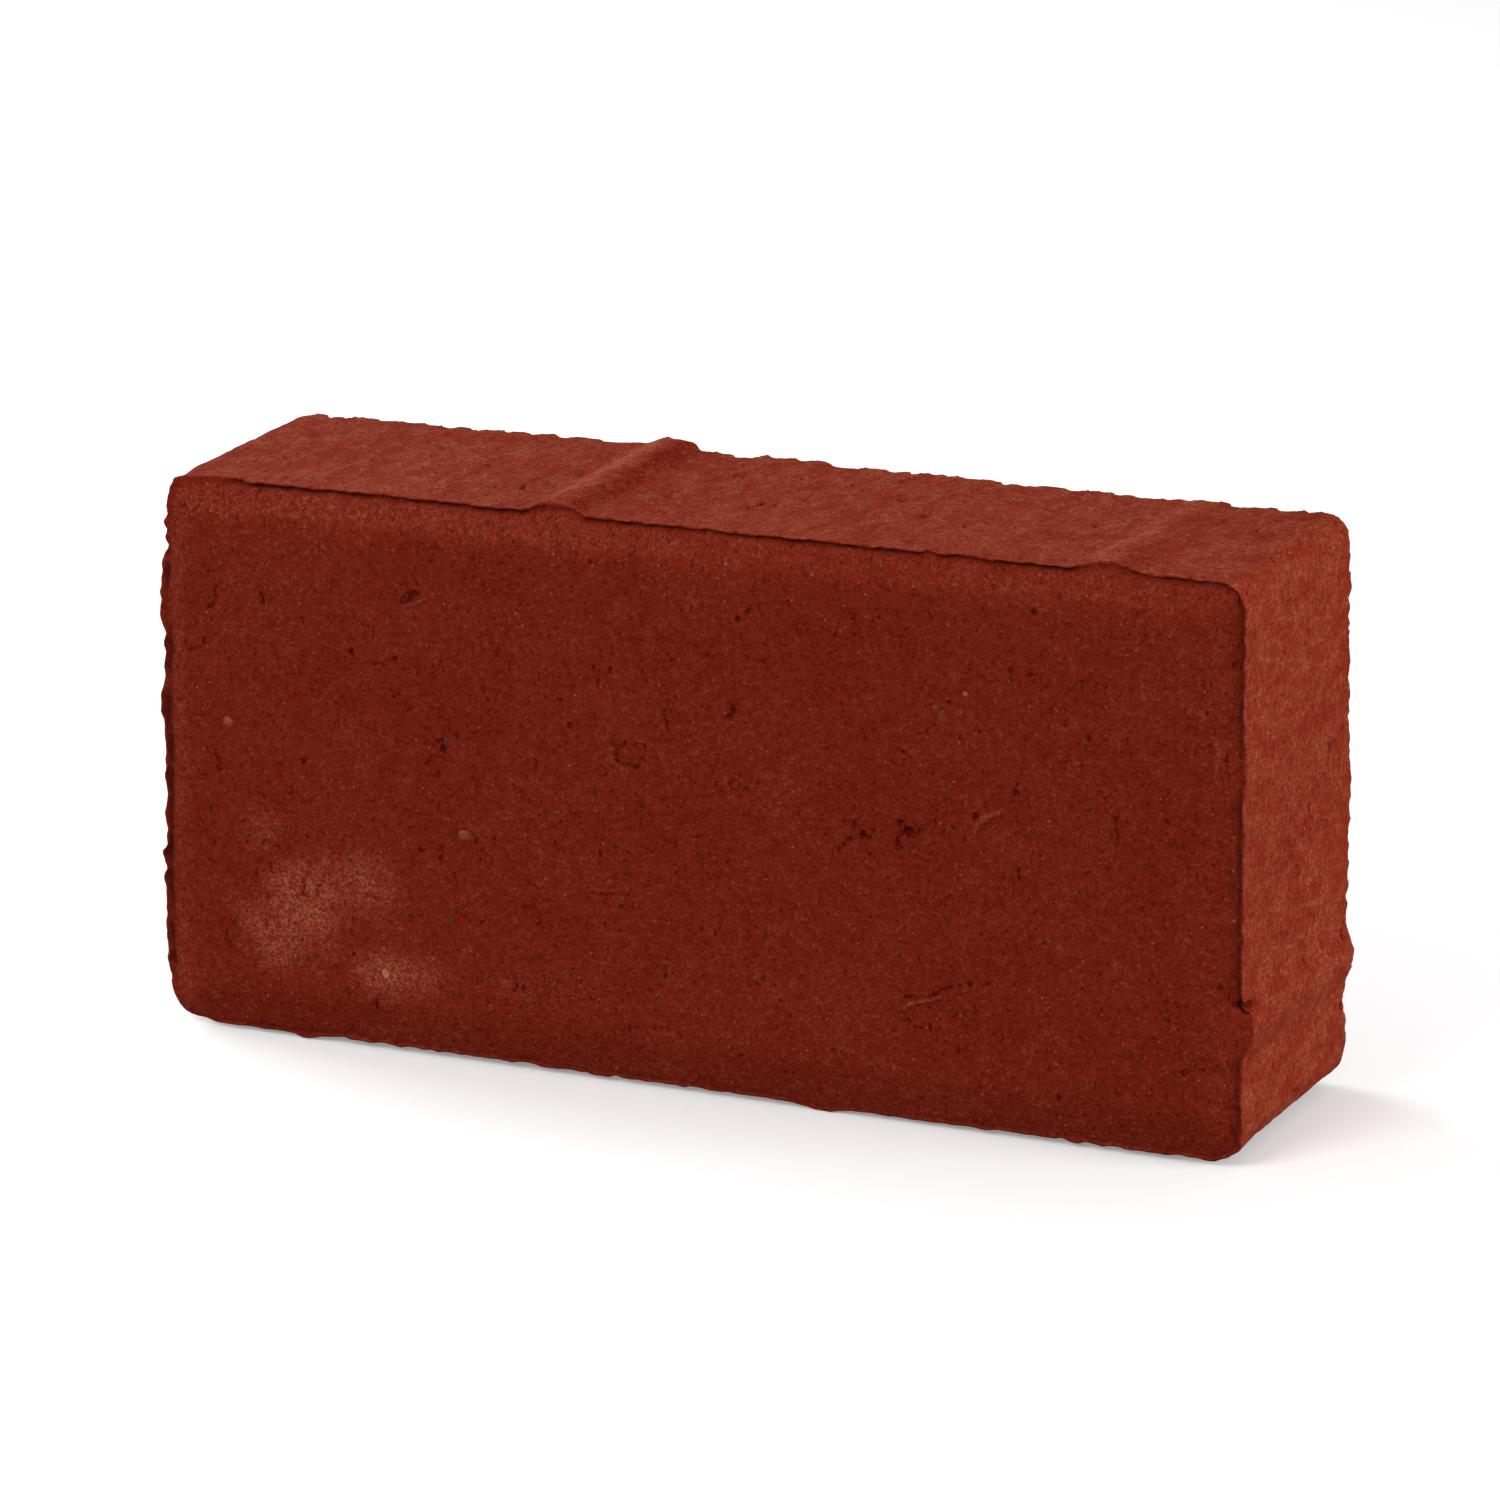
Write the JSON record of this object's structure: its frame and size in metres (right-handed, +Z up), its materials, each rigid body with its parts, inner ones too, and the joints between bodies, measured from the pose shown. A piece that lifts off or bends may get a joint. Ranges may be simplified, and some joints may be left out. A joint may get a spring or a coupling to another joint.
{
  "type": "paving block",
  "caption": "Rectangular pressed concrete paving block on its long edge, with a bevelled wearing face, spacer nibs on its sides and stones open in its faces.",
  "frame": {"origin": "under the block's centre, on the plane its two lower spacer nibs stand on", "axes": "+X along the block's length, +Y from the wearing face to the bed face, +Z up its width"},
  "size_m": [0.2, 0.05, 0.1],
  "materials": {
    "facing_concrete": "matte",
    "core_concrete": "matte",
    "light_stone": "matte",
    "grey_stone": "matte",
    "dark_stone": "matte",
    "gravel": "matte"
  },
  "bodies": {
    "root": {"facing_layer": "facing_concrete", "core_layer": "core_concrete", "light_pebble_left": "light_stone", "light_pebble_middle": "light_stone", "cream_grain": "light_stone", "quartz_grain": "light_stone", "grey_pebble": "grey_stone", "blue_grey_chip": "dark_stone", "green_grey_chip": "dark_stone", "core_gravel": "gravel"}
  },
  "joints": []
}
